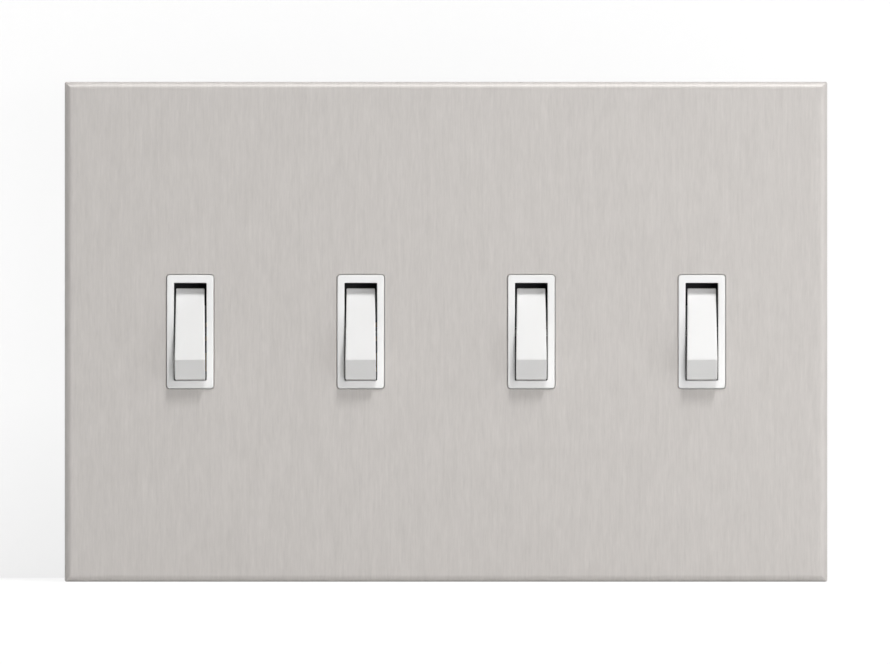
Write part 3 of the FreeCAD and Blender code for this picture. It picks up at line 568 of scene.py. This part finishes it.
class Finish:
    """A node tree that is being filled, for a material or for the surroundings."""

    def __init__(self, tree):
        self.tree = tree
        self.tree.nodes.clear()

    def node(self, kind, options=None, values=None):
        """Add a node, set its options first, then the values or links of its sockets."""
        node = self.tree.nodes.new(kind)
        for option, value in (options or {}).items():
            setattr(node, option, value)
        for socket, value in (values or {}).items():
            if isinstance(value, Wire):
                value = value.socket
            if isinstance(value, bpy.types.NodeSocket):
                self.tree.links.new(value, node.inputs[socket])
            else:
                node.inputs[socket].default_value = value
        return node

    def wire(self, node, output=0):
        return Wire(self, node.outputs[output])

    def place(self, scale):
        """Object coordinates, stretched by a factor along each axis."""
        where = self.node("ShaderNodeTexCoord").outputs["Object"]
        return self.node("ShaderNodeMapping", None, {"Vector": where, "Scale": scale}).outputs[0]

    def grain(self, scale, detail=2.0, rough=0.5):
        """Noise from 0 to 1 whose cells have 1 / scale metres along each axis."""
        node = self.node("ShaderNodeTexNoise", None, {
            "Vector": self.place(scale), "Scale": 1.0, "Detail": detail, "Roughness": rough})
        return self.wire(node)

    def specks(self, scale):
        """Distance to the nearest of scattered points, 0 at each point."""
        node = self.node("ShaderNodeTexVoronoi", None, {
            "Vector": self.place(scale), "Scale": 1.0})
        return self.wire(node)

    def blend(self, factor, one, two):
        """Colour between two others."""
        node = self.node("ShaderNodeMix", {"data_type": "RGBA"}, {
            0: factor, 6: colour(one), 7: colour(two)})
        return node.outputs[2]


def colour(value):
    """Four numbers for a colour socket from three, or a link left as it is."""
    if isinstance(value, bpy.types.NodeSocket):
        return value
    return (*tuple(value)[:3], 1.0)


def shade(base, factor):
    """A colour made lighter or darker by a factor."""
    return [min(channel * factor, 1.0) for channel in base]


def surface_finish(name, base, rough, relief=None, metal=0.0, fixed=None):
    """A material from a base colour, roughness and height, given as functions of its finish."""
    material = bpy.data.materials.new(name)
    material.use_nodes = True
    finish = Finish(material.node_tree)
    values = {"Base Color": base(finish), "Roughness": rough(finish), "Metallic": metal}
    values.update(fixed or {})
    if relief:
        strength, distance, height = relief
        bump = finish.node("ShaderNodeBump", None, {
            "Strength": strength, "Distance": distance, "Height": height(finish)})
        values["Normal"] = bump.outputs[0]
    shader = finish.node("ShaderNodeBsdfPrincipled", None, values)
    finish.node("ShaderNodeOutputMaterial", None, {"Surface": shader.outputs[0]})
    return material


def brushed_plate_finish():
    """Stainless sheet brushed along Z: fine streaks, faint longer bands and soft clouds."""
    base = settings("switch_finish").plate

    def streaks(finish):
        fine = finish.grain((2300, 900, 230), 3.0, 0.75)
        bands = finish.grain((1100, 300, 60), 2.0, 0.6)
        return fine * 0.65 + bands * 0.35

    def tone(finish):
        clouds = finish.grain((420, 200, 160), 3.0, 0.6)
        share = (streaks(finish) * 1.6 + clouds * 0.5 - 0.55).clamped()
        return finish.blend(share, shade(base, 0.885), shade(base, 1.115))

    def rough(finish):
        return streaks(finish) * 0.16 + 0.48

    return surface_finish("brushed_plate", tone, rough, (0.10, 0.00004, streaks), 0.35)


def white_plastic_finish(name, base):
    """Smooth glossy moulding: a whisper of orange peel, flow marks and handling haze."""

    def tone(finish):
        flow = finish.grain((70, 70, 26), 2.0, 0.5)
        return finish.blend(flow, shade(base, 0.985), shade(base, 1.012))

    def rough(finish):
        haze = finish.grain((160, 160, 160), 3.0, 0.6)
        return haze * 0.10 + 0.30

    def peel(finish):
        return finish.grain((1500, 1500, 1500), 1.0, 0.4)

    return surface_finish(name, tone, rough, (0.02, 0.00004, peel), 0.0,
                          {"IOR": 1.49})


def moulded_finish(name, base, level, pits):
    """Matt moulding: pale specks of filler and the fine texture left by the tool."""

    def tone(finish):
        specks = (finish.specks((1400, 1400, 1400)) * 1.6).clamped()
        clouds = finish.grain((60, 60, 60), 2.0, 0.5)
        return finish.blend((specks * 0.6 + clouds * 0.4).clamped(), shade(base, 1.18),
                            shade(base, 0.92))

    def rough(finish):
        return finish.grain((300, 300, 300), 3.0, 0.6) * 0.18 + level

    def texture(finish):
        return finish.grain((2600, 2600, 2600), 2.0, 0.6)

    return surface_finish(name, tone, rough, (pits, 0.0001, texture))


def plated_finish(name, base, along, level):
    """Plated steel: rolling lines along one axis, dull patches and tiny dents."""

    def lines(finish):
        return finish.grain(along, 2.0, 0.6)

    def tone(finish):
        patches = finish.grain((130, 130, 130), 3.0, 0.55)
        return finish.blend((lines(finish) * 0.5 + patches * 0.5).clamped(), shade(base, 0.84),
                            shade(base, 1.1))

    def rough(finish):
        return finish.grain((210, 210, 210), 3.0, 0.6) * 0.2 + level

    return surface_finish(name, tone, rough, (0.08, 0.00004, lines), 1.0)


def brass_finish(name, along):
    """Rolled or turned brass, warmer where it is a little tarnished."""
    base = settings("switch_finish").brass

    def tone(finish):
        tarnish = finish.grain((240, 240, 240), 3.0, 0.6)
        worn = shade(base, 0.8)
        return finish.blend(tarnish, (worn[0], worn[1] * 0.9, worn[2] * 0.75), shade(base, 1.12))

    def rough(finish):
        return finish.grain(along, 2.0, 0.6) * 0.2 + 0.2

    def lines(finish):
        return finish.grain(along, 2.0, 0.6)

    return surface_finish(name, tone, rough, (0.06, 0.00004, lines), 1.0)


def lacquer_finish():
    """Green lacquer over steel, lighter in random patches where it is thin."""
    base = settings("switch_finish").green

    def tone(finish):
        thin = finish.grain((520, 520, 520), 3.0, 0.6)
        return finish.blend(thin, shade(base, 0.8), shade(base, 1.35))

    def rough(finish):
        return finish.grain((420, 420, 420), 2.0, 0.5) * 0.2 + 0.24

    def runs(finish):
        return finish.grain((900, 900, 900), 1.0, 0.5)

    return surface_finish("ground_green", tone, rough, (0.06, 0.00006, runs), 0.35)


def dress(nodes, finish):
    """Give CAD nodes a finish in every material slot."""
    for node in nodes:
        mesh = frame["nodes"][node].data
        if not mesh.materials:
            mesh.materials.append(finish)
        for place in range(len(mesh.materials)):
            mesh.materials[place] = finish


def of_each_switch(name):
    return [f"{name}_{gang}" for gang in range(1, GANGS + 1)]


# ---------------------------------------------------------------- operators

class CoverPlateOperator(Operator):
    """Brushed cover plate with its pressed edge and punched holes"""
    bl_idname = "switch.cover_plate"
    bl_label = "Cover plate"

    def execute(self, context):
        plate = settings("switch_plate")
        bezel = settings("switch_bezel")
        arc = settings("switch_stage").arc_points
        border = plate.roll + SEAM
        fractions = np.linspace(-1, 1, 15)[1:-1]
        flat = plate.width / 2 - border
        along_x = []
        for gang in range(1, GANGS + 1):
            middle = gang_centre(gang)
            left = -flat if gang == 1 else middle - plate.pitch / 2
            right = flat if gang == GANGS else middle + plate.pitch / 2
            along_x.append((left + right) / 2 + fractions * (right - left) / 2)
            if gang < GANGS:
                along_x.append([right])
        along_x = np.concatenate(along_x) / flat
        surfaces = [plate_edge(plate, border, along_x, fractions, arc)]
        surfaces += [plate_cell(plate, bezel, gang, border, fractions, arc)
                     for gang in range(1, GANGS + 1)]
        piece = make_piece("cover_plate", surfaces, 12, "base", "faceplate",
                           brushed_plate_finish())
        return {"FINISHED"}


class BezelsOperator(Operator):
    """White collars that stand in the cover plate"""
    bl_idname = "switch.bezels"
    bl_label = "Bezels"

    def execute(self, context):
        plate = settings("switch_plate")
        bezel = settings("switch_bezel")
        arc = settings("switch_stage").arc_points
        finish = white_plastic_finish("white_plastic", settings("switch_finish").white)
        for gang in range(1, GANGS + 1):
            piece = make_piece(f"collar_{gang}", [bezel_surface(plate, bezel, gang, arc)], 35,
                               "base", f"bezel_{gang}", finish)
        return {"FINISHED"}


class LeversOperator(Operator):
    """Wedge-shaped toggle levers with their hubs and tails"""
    bl_idname = "switch.levers"
    bl_label = "Levers"

    def execute(self, context):
        lever = settings("switch_lever")
        arc = settings("switch_stage").arc_points
        # The levers' colour is the bezels' white darkened as painted shade, to offset the key
        # light on their up-tilted faces.
        finish = white_plastic_finish("lever_plastic_painted_shade", settings("switch_finish").lever_shaded_white)
        for gang in range(1, GANGS + 1):
            surfaces = [wedge_surface(lever, gang, arc), hub_surface(lever, gang),
                        tail_surface(lever, gang, arc)]
            piece = make_piece(f"toggle_wedge_{gang}", surfaces, 35, f"toggle_{gang}",
                               f"lever_{gang}", finish)
        return {"FINISHED"}


class MouldingsOperator(Operator):
    """Finish of the mounting frame and the switch housings"""
    bl_idname = "switch.mouldings"
    bl_label = "Frame and housings"

    def execute(self, context):
        colours = settings("switch_finish")
        dress(["mounting_frame"], moulded_finish("frame_plastic", colours.frame, 0.42, 0.06))
        dress(of_each_switch("housing"),
              moulded_finish("housing_plastic", colours.housing, 0.38, 0.10))
        return {"FINISHED"}


class StrapsOperator(Operator):
    """Finish of the mounting straps"""
    bl_idname = "switch.straps"
    bl_label = "Mounting straps"

    def execute(self, context):
        zinc = settings("switch_finish").zinc
        dress(of_each_switch("yoke"), plated_finish("zinc_steel", zinc, (1500, 300, 60), 0.3))
        return {"FINISHED"}


class FastenersOperator(Operator):
    """Finish of the screws, rivets and pivot pins"""
    bl_idname = "switch.fasteners"
    bl_label = "Screws, rivets and pins"

    def execute(self, context):
        zinc = settings("switch_finish").zinc
        around = (700, 2600, 700)
        dress(["frame_screws"], plated_finish("screw_steel", zinc, around, 0.24))
        dress(["housing_rivets"],
              plated_finish("rivet_steel", shade(zinc, 0.96), (900, 900, 900), 0.3))
        dress(["pivot_pins"],
              plated_finish("pin_steel", shade(zinc, 0.9), (120, 2400, 2400), 0.18))
        dress(["terminal_screws"], brass_finish("screw_brass", (2600, 700, 700)))
        dress(["ground_screws"], lacquer_finish())
        return {"FINISHED"}


class ContactsOperator(Operator):
    """Finish of the rockers and terminals"""
    bl_idname = "switch.contacts"
    bl_label = "Contacts and terminals"

    def execute(self, context):
        brass = brass_finish("contact_brass", (90, 1600, 1600))
        for name in ("contact_rocker", "common_terminal", "switched_terminal"):
            dress(of_each_switch(name), brass)
        return {"FINISHED"}


class DetentsOperator(Operator):
    """Finish of the plungers and their springs"""
    bl_idname = "switch.detents"
    bl_label = "Plungers and springs"

    def execute(self, context):
        colours = settings("switch_finish")
        dress(of_each_switch("plunger"),
              moulded_finish("plunger_plastic", colours.acetal, 0.3, 0.03))
        dress(of_each_switch("plunger_spring"),
              plated_finish("spring_steel", shade(colours.zinc, 0.8), (600, 3200, 600), 0.26))
        return {"FINISHED"}


def stage_sheet(name, corners, material):
    """A flat four-sided sheet of the stage."""
    mesh = bpy.data.meshes.new(name)
    mesh.from_pydata(corners, [], [(0, 1, 2, 3)])
    mesh.materials.append(material)
    sheet = bpy.data.objects.new(name, mesh)
    bpy.context.scene.collection.objects.link(sheet)


def pale_sheet_finish(name, white, glow_level, grey, one_sided):
    """Grey paper that the camera sees nearly evenly white, with the object's shadow on it.

    The camera sees the share white of a glow and the rest of the paper; gloss sees less glow.
    """
    material = bpy.data.materials.new(name)
    material.use_nodes = True
    finish = Finish(material.node_tree)
    path = finish.node("ShaderNodeLightPath")
    shiny = finish.wire(path, "Is Glossy Ray") + finish.wire(path, "Is Transmission Ray")
    seen = (finish.wire(path, "Is Camera Ray") + shiny * 0.4).clamped()
    paper = finish.node("ShaderNodeBsdfDiffuse", None, {"Color": (grey, grey, grey, 1.0)})
    glow = finish.node("ShaderNodeEmission", None, {"Color": (1, 1, 1, 1), "Strength": glow_level})
    mixed = finish.node("ShaderNodeMixShader", None, {
        0: seen * white, 1: paper.outputs[0], 2: glow.outputs[0]})
    last = mixed
    if one_sided:
        back = finish.node("ShaderNodeNewGeometry")
        clear = finish.node("ShaderNodeBsdfTransparent")
        last = finish.node("ShaderNodeMixShader", None, {
            0: finish.wire(back, "Backfacing"), 1: mixed.outputs[0], 2: clear.outputs[0]})
    finish.node("ShaderNodeOutputMaterial", None, {"Surface": last.outputs[0]})
    return material


def surroundings(ambient):
    """Soft light, brighter from the front and the right.

    The camera sees plain white, and gloss sees white only behind the wall.
    """
    world = bpy.data.worlds.new("studio")
    bpy.context.scene.world = world
    world.use_nodes = True
    finish = Finish(world.node_tree)
    path = finish.node("ShaderNodeLightPath")
    where = finish.node("ShaderNodeTexCoord").outputs["Generated"]
    axes = finish.node("ShaderNodeSeparateXYZ", None, {0: where})
    behind = (finish.wire(axes, 1) * 2.0 + 0.5).clamped()
    front = finish.wire(axes, 1) * (-0.8 * ambient)
    right = finish.wire(axes, 0) * (0.5 * ambient)
    level = (front + right + 0.4 * ambient).clamped()
    around = finish.node("ShaderNodeCombineXYZ", None, {0: level, 1: level, 2: level})
    shiny = finish.wire(path, "Is Glossy Ray") + finish.wire(path, "Is Transmission Ray")
    white = (finish.wire(path, "Is Camera Ray") + shiny * behind).clamped()
    tone = finish.blend(white, around.outputs[0], (1.0, 1.0, 1.0))
    sky = finish.node("ShaderNodeBackground", None, {"Color": tone, "Strength": 1.0})
    finish.node("ShaderNodeOutputWorld", None, {"Surface": sky.outputs[0]})


def area_light(name, place, size, power):
    """A rectangular lamp at a place, facing the middle of the switch."""
    data = bpy.data.lights.new(name, "AREA")
    data.shape = "RECTANGLE"
    data.size, data.size_y = size
    data.energy = power
    lamp = bpy.data.objects.new(name, data)
    lamp.location = place
    lamp.rotation_euler = (-Vector(place)).to_track_quat("-Z", "Y").to_euler()
    bpy.context.scene.collection.objects.link(lamp)


class StageOperator(Operator):
    """Camera, lamps, surroundings, floor and backdrop"""
    bl_idname = "switch.stage"
    bl_label = "Stage"

    def execute(self, context):
        stage = settings("switch_stage")
        floor = PLATE_LOW[2] - FLOOR_GAP
        wall = WALL_LINE
        far = SHEET_REACH
        stage_sheet("floor", [(-far, -far, floor), (far, -far, floor), (far, wall, floor),
                              (-far, wall, floor)],
                    pale_sheet_finish("floor_white", 0.85, 1.06, 0.80, False))
        stage_sheet("backdrop", [(-far, wall, floor), (far, wall, floor), (far, wall, far),
                                 (-far, wall, far)],
                    pale_sheet_finish("backdrop_white", 0.78, 1.06, 0.85, True))
        surroundings(stage.ambient)
        key_place = Vector(KEY_TOWARDS).normalized() * KEY_DISTANCE
        area_light("key", key_place, KEY_SIZE, stage.key_power)
        area_light("front", FRONT_PLACE, FRONT_SIZE, stage.front_power)
        area_light("side", SIDE_PLACE, SIDE_SIZE, stage.side_power)
        camera_data = bpy.data.cameras.new("camera")
        camera_data.sensor_width = 36.0
        camera_data.lens = stage.lens
        camera_data.clip_end = 100.0
        camera = bpy.data.objects.new("camera", camera_data)
        camera.location = (-0.00027, -stage.distance, -0.00008)
        camera.rotation_euler = (math.pi / 2, 0, 0)
        context.scene.collection.objects.link(camera)
        context.scene.camera = camera
        context.scene.view_settings.view_transform = "Standard"
        return {"FINISHED"}


class SwitchPanel(Panel):
    """Sizes, finishes and steps of the switch"""
    bl_idname = "VIEW3D_PT_wall_switch"
    bl_label = "Wall switch"
    bl_space_type = "VIEW_3D"
    bl_region_type = "UI"
    bl_category = "Switch"

    def draw(self, context):
        for group in SETTINGS:
            box = self.layout.box()
            values = getattr(context.scene, group)
            for name in values.bl_rna.properties.keys():
                if name not in ("rna_type", "name"):
                    box.prop(values, name)
        for step in STEPS:
            self.layout.operator(step.bl_idname)


SETTINGS = {
    "switch_plate": PlateSizes,
    "switch_bezel": BezelSizes,
    "switch_lever": LeverSizes,
    "switch_finish": FinishColours,
    "switch_stage": StageSettings,
}
STEPS = (StageOperator, CoverPlateOperator, BezelsOperator, LeversOperator, MouldingsOperator,
         StrapsOperator, FastenersOperator, ContactsOperator, DetentsOperator)


def register():
    for group, kind in SETTINGS.items():
        bpy.utils.register_class(kind)
        setattr(bpy.types.Scene, group, PointerProperty(type=kind))
    for step in STEPS:
        bpy.utils.register_class(step)
    bpy.utils.register_class(SwitchPanel)


def unregister():
    bpy.utils.unregister_class(SwitchPanel)
    for step in reversed(STEPS):
        bpy.utils.unregister_class(step)
    for group, kind in SETTINGS.items():
        delattr(bpy.types.Scene, group)
        bpy.utils.unregister_class(kind)


def main():
    register()
    for name in ("stage", "cover_plate", "bezels", "levers", "mouldings", "straps", "fasteners",
                 "contacts", "detents"):
        getattr(bpy.ops.switch, name)()


if __name__ == "__main__":
    main()
